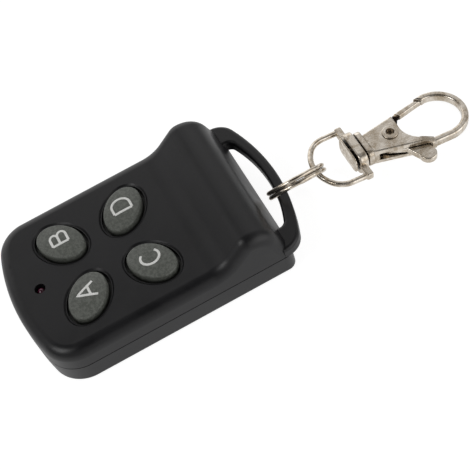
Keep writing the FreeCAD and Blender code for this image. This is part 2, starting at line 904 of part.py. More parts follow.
def make_chip():
    """The code chip: a moulded body with bent legs along both sides."""
    y = size("key_row_centre")
    half_long, half_wide = size("chip_length") / 2, size("chip_width") / 2
    low = board_top + size("chip_stand")
    body = box((-half_wide, half_wide), (y - half_long, y + half_long), (low, low + size("chip_thickness")))
    half_leg = size("leg_width") / 2
    root_x = half_wide - bite
    legs = []
    for number in range(LEGS_PER_SIDE):
        along = y + size("leg_pitch") * (number - (LEGS_PER_SIDE - 1) / 2)
        span = (along - half_leg, along + half_leg)
        for side in (-1, 1):
            legs.append(box(in_order(root_x * side, (half_wide + size("leg_foot")) * side), span,
                            (board_top, board_top + size("leg_thickness"))))
            legs.append(box(in_order(root_x * side, (half_wide + size("leg_knee")) * side), span,
                            (board_top, board_top + size("leg_height"))))
    node(fuse(body, *legs), "code_chip")


def in_order(first, second):
    """A (low, high) pair from two measures in either order."""
    return (first, second) if first.number < second.number else (second, first)


def chip_part(x, y, half_x, half_y):
    return box((x - half_x, x + half_x), (y - half_y, y + half_y), (board_top, board_top + size("part_height")))


def make_small_parts():
    """The resonator can, the loop aerial and the rows of little chip parts."""
    y = size("key_row_centre") - size("key_pitch_along") / 2 - size("can_from_keys")
    half_long, half_wide = size("can_length") / 2, size("can_width") / 2
    inset = size("lid_inset")
    can_top = board_top + size("can_height")
    can = box((-half_long, half_long), (y - half_wide, y + half_wide), (board_top, can_top))
    lid = box((inset - half_long, half_long - inset), (y - half_wide + inset, y + half_wide - inset),
              (can_top - bite, can_top + size("lid_rise")))
    node(fuse(can, lid), "resonator")
    half = board_half - size("track_inset")
    top = board_lamp_step - size("track_inset")
    low = -size("track_end")
    width = size("track_width")
    strip = (board_top, board_top + size("track_thickness"))
    node(fuse(box((-half, width - half), (low, top), strip), box((half - width, half), (low, top), strip),
              box((-half, half), (top - width, top), strip)), "aerial_loop")
    row = board_edge + size("part_row_inset")
    half_long, half_wide = size("part_length") / 2, size("part_width") / 2
    chips = []
    for side in (-1, 1):
        for number in range(PARTS_PER_ROW):
            x = (size("part_first") + size("part_pitch") * number) * side
            chips.append(chip_part(x, row, half_long, half_wide))
        chips.append(chip_part(size("part_from_lamp") * side, lamp_y, half_wide, half_long))
    node(fuse(*chips), "chip_parts")


def make_battery():
    """A cylindrical alkaline cell stack with its raised positive end."""
    half = size("battery_length") / 2
    can = lying(battery_radius, (-half, battery_y, battery_z), size("battery_length"), "x")
    neck = lying(battery_radius - size("battery_neck_inset"), (half - bite, battery_y, battery_z),
                 size("battery_neck_length") + bite, "x")
    button = lying(size("battery_button_radius"), (half, battery_y, battery_z),
                   size("battery_button_length"), "x")
    node(fuse(can, neck, button), "battery")


def make_contact(name, side, battery_end):
    """A sprung contact strip against one end of the battery, with a foot on the board."""
    thickness = size("contact_thickness")
    back = half_width - wall - size("contact_wall_gap")
    front = back - thickness
    touch = battery_end + size("contact_play")
    low, high = battery_z - size("contact_low"), battery_z + size("contact_high")
    bend_low, bend_high = battery_z - size("contact_bend"), battery_z + size("contact_bend")
    strip = [
        (side * back, low),
        (side * back, bend_low),
        (side * (touch + thickness), battery_z),
        (side * back, bend_high),
        (side * back, high),
        (side * front, high),
        (side * front, bend_high),
        (side * touch, battery_z),
        (side * front, bend_low),
        (side * front, low),
    ]
    body = doc.addObject("PartDesign::Body", name + "_strip")
    half = size("contact_half_width")
    pad(body, body_sketch(body, "XZ_Plane", strip, -battery_y), half * 2, both_ways=True)
    foot_end = board_edge + size("contact_foot")
    tail = box(in_order(side * front, side * back), (battery_y + half - bite, foot_end),
               (board_top, board_top + size("contact_foot")))
    foot = box(in_order(side * (back - size("contact_foot_width")), side * back), (board_edge + bite, foot_end),
               (board_top, board_top + thickness))
    node(fuse(body, tail, foot), name)


# Split ring: two turns of round wire with one step between them

ring_inner = size("ring_middle_radius") - size("ring_wire") / 2
ring_y = size("rim_band") - size("rim_apex") + size("ring_clear_of_rim") - ring_inner


def arc_through(first, bend, last):
    """A circular arc from first to last whose end tangents meet at bend."""
    middle = (first + last) * 0.5
    half_chord = first.distanceToPoint(last) / 2
    lift = bend - middle
    height = lift.Length
    if height < 1e-6:
        return Part.LineSegment(first, last)
    turn = math.atan2(height, half_chord)
    return Part.Arc(first, middle + lift * (half_chord * math.tan(turn / 2) / height), last)


def biarc(first, first_way, last, last_way):
    """Two arcs that join two points and leave and arrive along the given directions."""
    gap = last - first
    ways = first_way + last_way
    square = 4 - ways.dot(ways)
    along = gap.dot(ways)
    reach = (math.sqrt(along * along + square * gap.dot(gap)) - along) / square
    bend_in = first + first_way * reach
    bend_out = last - last_way * reach
    joint = (bend_in + bend_out) * 0.5
    return [arc_through(first, bend_in, joint), arc_through(joint, bend_out, last)]


def make_split_ring():
    radius = size("ring_middle_radius").number
    wire = size("ring_wire").number
    pitch = wire + size("ring_wire_gap").number
    ramp = size("ring_ramp_angle").number
    rest = ramp / 2 + size("ring_end_gap_angle").number

    def on_ring(angle, layer):
        turn = math.radians(angle)
        return Vector(radius * math.cos(turn), radius * math.sin(turn), pitch * (layer - 0.5))

    def way(angle):
        turn = math.radians(angle)
        return Vector(-math.sin(turn), math.cos(turn), 0)

    def turn_arcs(start, end, layer):
        step = (end - start) / 4
        return [Part.Arc(on_ring(start + step * number, layer), on_ring(start + step * (number + 0.5), layer),
                         on_ring(start + step * (number + 1), layer)) for number in range(4)]

    lower = turn_arcs(rest, 360 - ramp / 2, 0)
    climb = biarc(on_ring(-ramp / 2, 0), way(-ramp / 2), on_ring(ramp / 2, 1), way(ramp / 2))
    upper = turn_arcs(360 + ramp / 2, 720 - rest, 1)
    path = Part.Wire([curve.toShape() for curve in lower + climb + upper])
    section = Part.Wire(Part.Circle(on_ring(rest, 0), way(rest), wire / 2).toShape())
    ring = doc.addObject("Part::Feature", "SplitRing")
    ring.Shape = path.makePipeShell([section], True, False)
    ring.Placement = Placement(Vector(0, 0, 0), Rotation(Vector(0, 1, 0), 1.0))
    bind(ring, Placement__Rotation__Angle=90 - size("ring_lean_angle"))
    place(ring, size("ring_across"), ring_y, size("ring_centre_height"))
    points = path.discretize(Number=240)
    spacing = path.Length / (len(points) - 1)
    apart = math.ceil(4 * wire / spacing)
    gap = min(points[i].distanceToPoint(points[j]) for i in range(len(points))
              for j in range(i + apart, len(points))) - wire
    print(f"split ring: least gap between its turns {gap:.2f} mm, over 0.4: {gap > 0.4}")
    node(ring, "split_ring")


# Clasp: every piece is made in the clasp's own frame and then tipped onto the table

def on_clasp(item, name):
    """Names a clasp piece and sets it at the swivel, tipped so that the hook's end comes down."""
    drop = size("eye_length") * sine(size("clasp_angle"))
    back = size("eye_length") * cosine(size("clasp_angle"))
    apex_y = ring_y - ring_inner + size("eye_apex_clear") + size("eye_wire") / 2
    item.Placement = Placement(Vector(), Rotation(Vector(1, 0, 0), 1.0))
    bind(item, Placement__Rotation__Angle=size("clasp_angle"))
    place(item, size("clasp_across"), apex_y - back, size("eye_apex_height") - drop)
    return node(item, name)


def oval_block(half_width, half_height, corner_radius, edge_radius, start, length):
    """A block across the swivel axis with round corners and softened end edges."""
    block = box((-half_width, half_width), (start, measure(start) + length), (-half_height, half_height))
    block = soften(block, corner_radius, lambda edge: abs(edge.tangentAt(edge.FirstParameter).y) > 0.99)
    return soften(block, edge_radius, lambda edge: abs(edge.tangentAt(edge.FirstParameter).y) < 0.01)


def make_eye():
    """The swivel eye: a wire arch on a bar, with the round boss that the rivet turns in."""
    half = size("eye_half_width")
    corner_y, arc_x, arc_y = end_arch(half, size("eye_length"), size("eye_top_radius"), size("eye_side_radius"))
    foot = size("eye_bar_start") + size("eye_bar_length") / 2
    path = doc.addObject("Sketcher::SketchObject", "ArchPath")
    outline(path, [
        (-half, foot),
        (-half, corner_y, size("eye_side_radius"), -1),
        (-arc_x, arc_y, size("eye_top_radius"), -1),
        (arc_x, arc_y, size("eye_side_radius"), -1),
        (half, corner_y),
        (half, foot),
        None,
    ])
    section = doc.addObject("Part::Circle", "ArchSection")
    bind(section, Radius=size("eye_wire") / 2)
    place(section, -half, foot, 0, axis=(1, 0, 0), angle=90)
    arch = doc.addObject("Part::Sweep", "Arch")
    arch.Sections = [section]
    arch.Spine = (path, [f"Edge{number}" for number in range(1, 6)])
    arch.Solid = True
    reach = half + size("eye_shoulder")
    tall = size("eye_bar_height") / 2
    bar = box((-reach, reach), (size("eye_bar_start"), size("eye_bar_start") + size("eye_bar_length")),
              (-tall, tall))
    bar = soften(bar, size("eye_bar_edge_radius"), lambda edge: True)
    start = size("swivel_gap")
    boss = oval_block(size("boss_half_width"), size("boss_half_height"), size("boss_corner_radius"),
                      size("boss_edge_radius"), start, size("boss_length"))
    bore = lying(size("swivel_radius") + size("swivel_play"), (0, start - past, 0),
                 size("boss_length") + past * 2, "y")
    on_clasp(cut(fuse(arch, bar, boss), bore), "swivel_eye")


def make_swivel_rivet():
    """The rivet that holds the hook in the eye's boss and lets it turn."""
    head_start = size("swivel_gap") * 2 + size("boss_length")
    depth = size("swivel_depth")
    shank = lying(size("swivel_radius"), (0, -depth, 0), depth + head_start + bite, "y")
    head = oval_block(size("swivel_head_half_width"), size("swivel_head_half_height"),
                      size("swivel_head_corner_radius"), size("swivel_head_edge_radius"), head_start,
                      size("swivel_head_length"))
    on_clasp(fuse(shank, head), "swivel_rivet")


pivot_x = size("pivot_across")
pivot_y = -size("pivot_place")
loop_x = size("loop_across")
loop_y = -size("loop_centre")
loop_outer = size("loop_radius") + size("loop_width") / 2
loop_inner = size("loop_radius") - size("loop_width") / 2
tip_outer = (loop_x + loop_outer - size("tip_lean"), loop_y + size("tip_outer_rise"))
tip_inner = (loop_x + loop_inner - size("tip_lean") / 2, loop_y + size("tip_inner_rise"))


def make_hook():
    """The cast hook: a neck, a slotted body for the trigger and the open loop."""
    body = doc.addObject("PartDesign::Body", "hook")
    arm_out, arm_in = loop_x - loop_outer, loop_x - loop_inner
    neck_y = bite - size("neck_length")
    side_y = -size("hook_side_length")
    arm_y = -size("arm_length")
    low = loop_y - loop_outer
    band = [
        (arm_out, arm_y + past),
        (arm_out, loop_y, loop_outer, 1),
        (loop_x, low, loop_outer, 1),
        (loop_x + loop_outer, loop_y),
        tip_outer,
        tip_inner,
        (loop_x + loop_inner, loop_y, loop_inner, -1),
        (loop_x, loop_y - loop_inner, loop_inner, -1),
        (arm_in, loop_y),
        (arm_in, arm_y + past),
    ]
    pad(body, body_sketch(body, "XY_Plane", band), size("loop_thickness"), both_ways=True)
    half_thick = size("loop_thickness").number / 2

    def on_loop(edge):
        point = middle_of(edge)
        along = abs(edge.tangentAt(edge.FirstParameter).z) < 0.01
        at_foot = abs(point.y - arm_y.number - past.number) < 0.01
        return along and abs(abs(point.z) - half_thick) < 0.01 and not at_foot

    round_edges(body, size("loop_edge_radius"), on_loop)
    block = [
        (-size("neck_left"), neck_y),
        (arm_out, arm_y),
        (arm_in, arm_y),
        (arm_in + size("throat_offset"), side_y - size("throat_depth"), size("throat_radius"), -1),
        (size("throat_across"), side_y),
        (size("hook_side"), side_y),
        (size("neck_right"), neck_y),
    ]
    pad(body, body_sketch(body, "XY_Plane", block), size("hook_thickness"), both_ways=True)
    half_block = size("hook_thickness") / 2
    half_loop = size("loop_thickness") / 2
    round_edges(body, size("hook_edge_radius"), lambda edge: lies_at(edge, half_block.number))
    arm_reach = past - arm_out
    for side in (1, -1):
        wedge = [
            (-size("arm_taper_start"), half_block * side),
            (arm_y - past, half_block * side),
            (arm_y - past, half_loop * side),
            (arm_y, half_loop * side),
        ]
        pocket(body, body_sketch(body, "YZ_Plane", wedge), arm_reach * 2, both_ways=True)
    far = size("hook_side") + past
    wall_x = size("neck_right") - size("side_wall")
    slot = [
        (-far * 2, -size("slot_start")),
        (wall_x, -size("slot_start")),
        (wall_x + size("side_wall_flare"), -size("side_wall_end")),
        (far, -size("side_wall_end")),
        (far, -size("slot_gate_end")),
        (arm_in + size("arm_web"), -size("slot_gate_end")),
        (arm_in + size("arm_web"), -size("slot_end")),
        (-far * 2, -size("slot_end")),
    ]
    pocket(body, body_sketch(body, "XY_Plane", slot), size("slot_height"), both_ways=True)
    neck = oval_block(size("neck_half_width"), size("neck_half_height"), size("neck_corner_radius"),
                      size("neck_edge_radius"), -size("neck_length"), size("neck_length"))
    socket = lying(size("swivel_radius"), (0, -size("swivel_depth"), 0), size("swivel_depth") + past, "y")
    pivot_hole = upright(size("pivot_radius"), pivot_x, pivot_y,
                         (-size("hook_thickness"), size("hook_thickness")))
    on_clasp(cut(fuse(body, neck), socket, pivot_hole), "hook_body")


def towards_pivot(point, distance):
    """A point moved towards the trigger's pivot."""
    across, along = pivot_x - point[0], pivot_y - point[1]
    length = root(across * across + along * along)
    return (point[0] + across * distance / length, point[1] + along * distance / length)


def make_waist_slab(height, low):
    """The space cleared above or below the gate arm where it comes out between the cheeks."""
    inner = (pivot_x + size("waist_inner_across"), pivot_y - size("waist_inner_drop"))
    outer = (pivot_x + size("waist_outer_across"), pivot_y - size("waist_outer_drop"))
    run_x, run_y = size("waist_run_across"), size("waist_run_drop")
    outline_points = [inner, (inner[0] + run_x, inner[1] - run_y), (outer[0] + run_x, outer[1] - run_y), outer]
    slab = doc.addObject("PartDesign::Body", "waist")
    pad(slab, body_sketch(slab, "XY_Plane", outline_points), height)
    return place(slab, 0, 0, low)


def make_trigger():
    """The trigger: the gate arm that closes the hook, its hub and the thumb tab."""
    hub = size("trigger_hub_radius")
    nose_outer = towards_pivot(tip_outer, size("gate_gap"))
    nose_inner = towards_pivot(tip_inner, size("gate_gap"))
    inset = size("gate_inset")
    thumb_x = pivot_x - size("thumb_reach")
    thumb_y = pivot_y - size("thumb_drop")
    thumb = size("thumb_radius")
    profile = [
        (pivot_x + hub, pivot_y, hub, 1),
        (pivot_x, pivot_y + hub),
        (pivot_x - size("heel_across"), pivot_y + size("heel_rise")),
        (pivot_x - size("heel_back_across"), pivot_y + size("heel_back_rise")),
        (pivot_x - size("thumb_neck_across"), pivot_y - size("thumb_neck_upper")),
        (thumb_x, thumb_y + thumb, thumb, 1),
        (thumb_x - thumb, thumb_y, thumb, 1),
        (thumb_x, thumb_y - thumb),
        (pivot_x - size("thumb_neck_across"), pivot_y - size("thumb_neck_lower")),
        (pivot_x - size("crotch_across"), pivot_y - size("crotch_drop")),
        (pivot_x, pivot_y - hub),
        (pivot_x + size("gate_root_across"), pivot_y - size("gate_root_drop")),
        (pivot_x + size("gate_elbow_across"), pivot_y - size("gate_elbow_drop")),
        (nose_inner[0] + inset, nose_inner[1]),
        (nose_outer[0] - inset, nose_outer[1]),
        (pivot_x + size("gate_back_across"), pivot_y - size("gate_back_drop")),
        (pivot_x + size("gate_shoulder_across"), pivot_y - size("gate_shoulder_drop")),
    ]
    body = doc.addObject("PartDesign::Body", "trigger")
    pad(body, body_sketch(body, "XY_Plane", profile), size("trigger_thickness"), both_ways=True)
    half_thick = size("trigger_thickness").number / 2
    round_edges(body, size("trigger_edge_radius"), lambda edge: lies_at(edge, half_thick))
    bore = upright(size("pivot_radius") + size("pivot_play"), pivot_x, pivot_y,
                   (-size("hook_thickness"), size("hook_thickness")))
    slab_height = size("trigger_thickness") - size("waist_thickness") / 2
    slabs = [make_waist_slab(slab_height, low) for low in (size("waist_thickness") / 2,
                                                           -size("waist_thickness") / 2 - slab_height)]
    on_clasp(cut(body, bore, *slabs), "trigger_lever")


def make_pivot_rivet():
    """The rivet that the trigger turns on, with its dimpled heads."""
    face_high = size("hook_thickness") / 2
    head = size("pivot_head_height")
    shank = upright(size("pivot_radius"), pivot_x, pivot_y, (-face_high - head, face_high + head))
    heads = [upright(size("pivot_head_radius"), pivot_x, pivot_y, span)
             for span in ((face_high, face_high + head), (-face_high - head, -face_high))]
    heads = [soften(item, size("pivot_head_edge_radius"), is_circle) for item in heads]
    top = face_high + head
    dimple = upright(size("pivot_dimple_radius"), pivot_x, pivot_y, (top - size("pivot_dimple_depth"), top + past))
    on_clasp(cut(fuse(shank, *heads), dimple), "trigger_rivet")


def make_trigger_spring():
    """The flat spring above the hub that pushes the trigger shut."""
    thick = size("spring_thickness")
    gap = size("spring_gap")
    top = -size("slot_start") - gap
    right = size("neck_right") - size("side_wall") - size("spring_play")
    left = pivot_x - size("spring_reach")
    lip = top - thick - size("spring_lip")
    leg = top - size("spring_leg")
    profile = [
        (right, top),
        (left, top),
        (left, lip),
        (left + thick, lip),
        (left + thick, top - thick),
        (right - thick, top - thick),
        (right - thick, leg),
        (right, leg),
    ]
    body = doc.addObject("PartDesign::Body", "spring")
    pad(body, body_sketch(body, "XY_Plane", profile), size("trigger_thickness"), both_ways=True)
    on_clasp(body, "trigger_spring")


make_top_shell()
make_bottom_shell()
make_screws()
make_mat()
for letter in KEYS:
    make_key(letter)
make_board()
for letter in KEYS:
    make_switch(letter)
make_lamp()
make_chip()
make_small_parts()
make_battery()
make_contact("battery_contact_minus", -1, size("battery_length") / 2)
make_contact("battery_contact_plus", 1, size("battery_length") / 2 + size("battery_button_length"))
make_split_ring()
make_eye()
make_swivel_rivet()
make_hook()
make_trigger()
make_pivot_rivet()
make_trigger_spring()


def write_out():
    """Checks every object and writes each finished sub-part."""
    doc.recompute()
    failed = [item.Label for item in doc.Objects if "Invalid" in item.State or "Error" in item.State]
    if failed:
        raise RuntimeError("these did not build: " + ", ".join(failed))
    os.makedirs("parts", exist_ok=True)
    for item in nodes:
        shape = item.Shape
        if shape.isNull() or not shape.isValid() or not shape.Solids:
            raise RuntimeError(item.Label + " has no valid solid")
        shape.exportStep(f"parts/{item.Label}.step")
        low, high = shape.BoundBox, shape.BoundBox
        print(f"{item.Label}: {len(shape.Solids)} solid(s), {shape.Volume:.2f} mm3,",
              f"x {low.XMin:.2f} to {high.XMax:.2f}, y {low.YMin:.2f} to {high.YMax:.2f},",
              f"z {low.ZMin:.2f} to {high.ZMax:.2f}")


write_out()
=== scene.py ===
import json
import math

import bmesh
import bpy
from mathutils import Matrix, Vector


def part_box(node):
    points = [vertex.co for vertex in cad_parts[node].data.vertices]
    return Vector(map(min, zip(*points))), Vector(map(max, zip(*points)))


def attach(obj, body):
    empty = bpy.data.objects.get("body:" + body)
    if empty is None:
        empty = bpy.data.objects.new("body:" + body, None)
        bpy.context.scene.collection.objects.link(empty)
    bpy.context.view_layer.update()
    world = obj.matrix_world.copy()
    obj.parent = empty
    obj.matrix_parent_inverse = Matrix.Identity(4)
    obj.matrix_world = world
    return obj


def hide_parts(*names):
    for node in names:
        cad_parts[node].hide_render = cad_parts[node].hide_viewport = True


# A four-button remote key fob lying on its back, with its split ring and swivel trigger clasp.
# +Z is out of the key face and +Y to the lamp end. Lengths are in metres, apart from those of the
# split ring, the legends, the bumps and the crevices, which are in millimetres.

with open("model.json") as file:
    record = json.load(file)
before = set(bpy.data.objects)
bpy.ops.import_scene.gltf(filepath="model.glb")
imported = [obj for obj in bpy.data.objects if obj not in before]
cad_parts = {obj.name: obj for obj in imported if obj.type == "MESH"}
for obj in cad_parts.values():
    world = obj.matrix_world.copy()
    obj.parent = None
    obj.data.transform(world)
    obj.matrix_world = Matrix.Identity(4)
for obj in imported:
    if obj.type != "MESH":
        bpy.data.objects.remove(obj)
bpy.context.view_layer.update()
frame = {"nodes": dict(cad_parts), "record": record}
nodes = frame["nodes"]
MM = 0.001
FULL_TURN = 360


# Camera at the photograph's view

PHOTO_SIDE = 470
FOCAL_PIXELS = 1446.37
SENSOR_WIDTH = 36.0
CLIP_START = 10 * MM
CAMERA_PLACE = Vector((-184.35, 4.63, 248.23)) * MM
CAMERA_RIGHT = Vector((-0.42902796, -0.87558958, -0.22198627))
CAMERA_UP = Vector((0.68764965, -0.47594477, 0.54828326))


def make_camera():
    data = bpy.data.cameras.new("view")
    data.sensor_width = SENSOR_WIDTH
    data.lens = FOCAL_PIXELS / PHOTO_SIDE * SENSOR_WIDTH
    data.clip_start = CLIP_START
    camera = bpy.data.objects.new("view", data)
    bpy.context.scene.collection.objects.link(camera)
    backward = CAMERA_RIGHT.cross(CAMERA_UP)
    turn = Matrix((CAMERA_RIGHT, CAMERA_UP, backward)).transposed().to_4x4()
    camera.matrix_world = Matrix.Translation(CAMERA_PLACE) @ turn
    bpy.context.scene.camera = camera


# Shader nodes

# The colour sockets of a Mix node, by their places
MIX_FIRST, MIX_SECOND, MIX_RESULT = 6, 7, 2


def feed(tree, socket, value):
    """Gives an input socket its value: a link from another socket, an RGB colour or a number."""
    if isinstance(value, bpy.types.NodeSocket):
        tree.links.new(value, socket)
    elif isinstance(value, tuple):
        socket.default_value = (*value, 1)
    else:
        socket.default_value = value


def object_place(tree, stretch=(1, 1, 1), turn=(0, 0, 0)):
    """The place on the object, in metres, stretched and turned for a pattern."""
    place = tree.nodes.new("ShaderNodeTexCoord")
    mapping = tree.nodes.new("ShaderNodeMapping")
    mapping.inputs["Scale"].default_value = stretch
    mapping.inputs["Rotation"].default_value = turn
    tree.links.new(place.outputs["Object"], mapping.inputs["Vector"])
    return mapping.outputs["Vector"]


def add_noise(tree, vector, scale, detail, roughness, distortion=0.0):
    noise = tree.nodes.new("ShaderNodeTexNoise")
    for label, value in (("Vector", vector), ("Scale", scale), ("Detail", detail), ("Roughness", roughness),
                         ("Distortion", distortion)):
        feed(tree, noise.inputs[label], value)
    return noise.outputs["Fac"]


def map_range(tree, value, low, high, to_low=0.0, to_high=1.0, smooth=True):
    node = tree.nodes.new("ShaderNodeMapRange")
    node.interpolation_type = "SMOOTHSTEP" if smooth else "LINEAR"
    for label, number in (("Value", value), ("From Min", low), ("From Max", high), ("To Min", to_low),
                          ("To Max", to_high)):
        feed(tree, node.inputs[label], number)
    return node.outputs[0]


def math_node(tree, operation, first, second):
    node = tree.nodes.new("ShaderNodeMath")
    node.operation = operation
    feed(tree, node.inputs[0], first)
    feed(tree, node.inputs[1], second)
    return node.outputs[0]


def blend_colour(tree, mask, first, second):
    """A colour that goes from the first to the second where the mask is 1."""
    node = tree.nodes.new("ShaderNodeMix")
    node.data_type = "RGBA"
    feed(tree, node.inputs["Factor"], mask)
    feed(tree, node.inputs[MIX_FIRST], first)
    feed(tree, node.inputs[MIX_SECOND], second)
    return node.outputs[MIX_RESULT]


# Node groups: every surface effect that more than one finish uses

# Each pair holds the values between which a mask goes from one end to the other
SPECKLE_NOISE = (0.8, 1.25)
MARKS_NOISE = (0.35, 0.85)
HAIRLINE_NOISE = (0.6, 0.7)
CREVICE_OPENNESS = (0.15, 0.75)

COARSE_GRAIN_SHARE = 0.37
MARKS_COVER_WEIGHT = 0.5
CREVICE_SAMPLES = 8
CREVICE_REACH = 1.2
HAIRLINE_SCALE = 260.0
# The stretch and turn of the pattern for each way that the hairlines run
HAIRLINE_WAYS = (((1, 26, 3), (0.2, 0.1, 0.5)), ((24, 1, 2), (0.1, 0.3, -0.35)))


def make_group(name, inputs, outputs):
    """A shader node group with its named sockets, all of them numbers."""
    tree = bpy.data.node_groups.new(name, "ShaderNodeTree")
    for label in inputs:
        tree.interface.new_socket(label, in_out="INPUT", socket_type="NodeSocketFloat")
    for label in outputs:
        tree.interface.new_socket(label, in_out="OUTPUT", socket_type="NodeSocketFloat")
    return tree, tree.nodes.new("NodeGroupInput").outputs, tree.nodes.new("NodeGroupOutput").inputs


def make_grain_group():
    """The fine spark texture of a moulded or cast face: its height and a speckle mask."""
    tree, given, result = make_group("fine_grain", ["Scale"], ["Height", "Speckle"])
    place = object_place(tree)
    fine = add_noise(tree, place, given["Scale"], detail=2.0, roughness=0.6)
    coarse_scale = math_node(tree, "MULTIPLY", given["Scale"], COARSE_GRAIN_SHARE)
    coarse = add_noise(tree, place, coarse_scale, detail=1.0, roughness=0.5)
    both = math_node(tree, "ADD", fine, coarse)
    feed(tree, result["Height"], math_node(tree, "MULTIPLY", both, 0.5))
    feed(tree, result["Speckle"], map_range(tree, both, *SPECKLE_NOISE))
    return tree


def make_marks_group():
    """Soft handling marks and tarnished patches: a patchy mask from 0 to 1, wider with more cover."""
    tree, given, result = make_group("handling_marks", ["Scale", "Cover"], ["Mask"])
    cloud = add_noise(tree, object_place(tree), given["Scale"], detail=4.0, roughness=0.62, distortion=0.6)
    low, bare_high = MARKS_NOISE
    cover = math_node(tree, "MULTIPLY", given["Cover"], MARKS_COVER_WEIGHT)
    high = math_node(tree, "SUBTRACT", bare_high, cover)
    feed(tree, result["Mask"], map_range(tree, cloud, low, high))
    return tree


def make_crevice_shade_group():
    """A mask of the corners and gaps that hardly any light reaches, where the colour is painted darker:
    painted shade, and on metal tarnished hollows too.
    """
    tree, given, result = make_group("crevices", ["Reach"], ["Mask"])
    open_sky = tree.nodes.new("ShaderNodeAmbientOcclusion")
    open_sky.samples = CREVICE_SAMPLES
    feed(tree, open_sky.inputs["Distance"], math_node(tree, "MULTIPLY", given["Reach"], MM))
    mask = map_range(tree, open_sky.outputs["AO"], *CREVICE_OPENNESS, to_low=1.0, to_high=0.0)
    feed(tree, result["Mask"], mask)
    return tree


def make_hairline_group():
    """Hairline scratches that run two ways across a worn face."""
    tree, given, result = make_group("hairlines", ["Scale"], ["Lines"])
    lines = []
    for stretch, turn in HAIRLINE_WAYS:
        noise = add_noise(tree, object_place(tree, stretch, turn), given["Scale"], detail=2.0, roughness=0.5)
        lines.append(map_range(tree, noise, *HAIRLINE_NOISE))
    feed(tree, result["Lines"], math_node(tree, "MAXIMUM", *lines))
    return tree


grain_group = make_grain_group()
marks_group = make_marks_group()
crevice_shade_group = make_crevice_shade_group()
hairline_group = make_hairline_group()


def place_group(tree, group, **values):
    node = tree.nodes.new("ShaderNodeGroup")
    node.node_tree = group
    for label, value in values.items():
        node.inputs[label].default_value = value
    return node.outputs


# Finishes

def start_finish(name):
    material = bpy.data.materials.new(name)
    material.use_nodes = True
    tree = material.node_tree
    return material, tree, tree.nodes["Principled BSDF"]


def add_bump(tree, shader, height, depth):
    """Feeds a height of 0 to 1 to the shader's normal; depth is in millimetres."""
    bump = tree.nodes.new("ShaderNodeBump")
    bump.inputs["Distance"].default_value = depth * MM
    feed(tree, bump.inputs["Height"], height)
    feed(tree, shader.inputs["Normal"], bump.outputs["Normal"])


def grained(name, colour, marked, speckled, roughness, marked_roughness, metallic=0.0, grain_scale=5000.0,
            grain_depth=0.01, speckle=0.0, marks_scale=150.0, marks_cover=0.5, hairlines=0.0, tarnish_and_shade=None):
    """A moulded, cast or plated finish: base colour, handling marks, fine grain, hairlines, and crevices
    painted darker as painted shade, on metal also as tarnished hollows.
    """
    material, tree, shader = start_finish(name)
    grain = place_group(tree, grain_group, Scale=grain_scale)
    marks = place_group(tree, marks_group, Scale=marks_scale, Cover=marks_cover)
    tint = blend_colour(tree, marks["Mask"], colour, marked)
    fleck = math_node(tree, "MULTIPLY", grain["Speckle"], speckle)
    tint = blend_colour(tree, fleck, tint, speckled)
    # Painted shade: corners and gaps are painted darker, as the shade there; on metal this also stands for
    # tarnished hollows.
    if tarnish_and_shade:
        crevices = place_group(tree, crevice_shade_group, Reach=CREVICE_REACH)
        tint = blend_colour(tree, crevices["Mask"], tint, tarnish_and_shade)
    rough = map_range(tree, marks["Mask"], 0, 1, to_low=roughness, to_high=marked_roughness, smooth=False)
    height = grain["Height"]
    if hairlines:
        lines = place_group(tree, hairline_group, Scale=HAIRLINE_SCALE)["Lines"]
        rough = math_node(tree, "ADD", rough, math_node(tree, "MULTIPLY", lines, hairlines))
        height = math_node(tree, "SUBTRACT", height, lines)
    feed(tree, shader.inputs["Base Color"], tint)
    feed(tree, shader.inputs["Roughness"], rough)
    shader.inputs["Metallic"].default_value = metallic
    add_bump(tree, shader, height, grain_depth)
    return material


BOARD_GREENS = ((0.010, 0.085, 0.035), (0.012, 0.10, 0.04))
BOARD_TRACK = (0.03, 0.20, 0.08)
BOARD_MARKED = (0.02, 0.10, 0.045)


def make_board_finish():
    """Green laminate with lighter copper tracks under the solder mask."""
    material, tree, shader = start_finish("masked_laminate")
    bricks = tree.nodes.new("ShaderNodeTexBrick")
    for label, value in (("Vector", object_place(tree)), ("Scale", 320.0), ("Mortar Size", 0.06),
                         ("Mortar Smooth", 0.3), ("Color1", BOARD_GREENS[0]), ("Color2", BOARD_GREENS[1]),
                         ("Mortar", BOARD_TRACK)):
        feed(tree, bricks.inputs[label], value)
    marks = place_group(tree, marks_group, Scale=220.0, Cover=0.4)
    tint = blend_colour(tree, marks["Mask"], bricks.outputs["Color"], BOARD_MARKED)
    feed(tree, shader.inputs["Base Color"], tint)
    shader.inputs["Roughness"].default_value = 0.3
    add_bump(tree, shader, bricks.outputs["Fac"], depth=0.02)
    return material


SLEEVE_DARK = (0.02, 0.022, 0.026)
SLEEVE_GOLD = (0.62, 0.42, 0.12)
SLEEVE_MARKED = (0.09, 0.075, 0.05)
GOLD_START = 5 * MM
GOLD_EDGE = 0.1 * MM


def make_battery_finish():
    """A printed sleeve: a dark field with a gold end band, and nothing written on it."""
    material, tree, shader = start_finish("cell_sleeve")
    split = tree.nodes.new("ShaderNodeSeparateXYZ")
    feed(tree, split.inputs[0], object_place(tree))
    band = map_range(tree, split.outputs["X"], GOLD_START, GOLD_START + GOLD_EDGE)
    marks = place_group(tree, marks_group, Scale=260.0, Cover=0.4)
    sleeve = blend_colour(tree, band, SLEEVE_DARK, SLEEVE_GOLD)
    feed(tree, shader.inputs["Base Color"], blend_colour(tree, marks["Mask"], sleeve, SLEEVE_MARKED))
    rough = map_range(tree, marks["Mask"], 0, 1, to_low=0.22, to_high=0.4, smooth=False)
    feed(tree, shader.inputs["Roughness"], rough)
    shader.inputs["Metallic"].default_value = 0.6
    grain = place_group(tree, grain_group, Scale=3000.0)
    add_bump(tree, shader, grain["Height"], depth=0.005)
    return material


RESIN_DARK = (0.045, 0.003, 0.016)
RESIN_FLECK = (0.09, 0.008, 0.035)


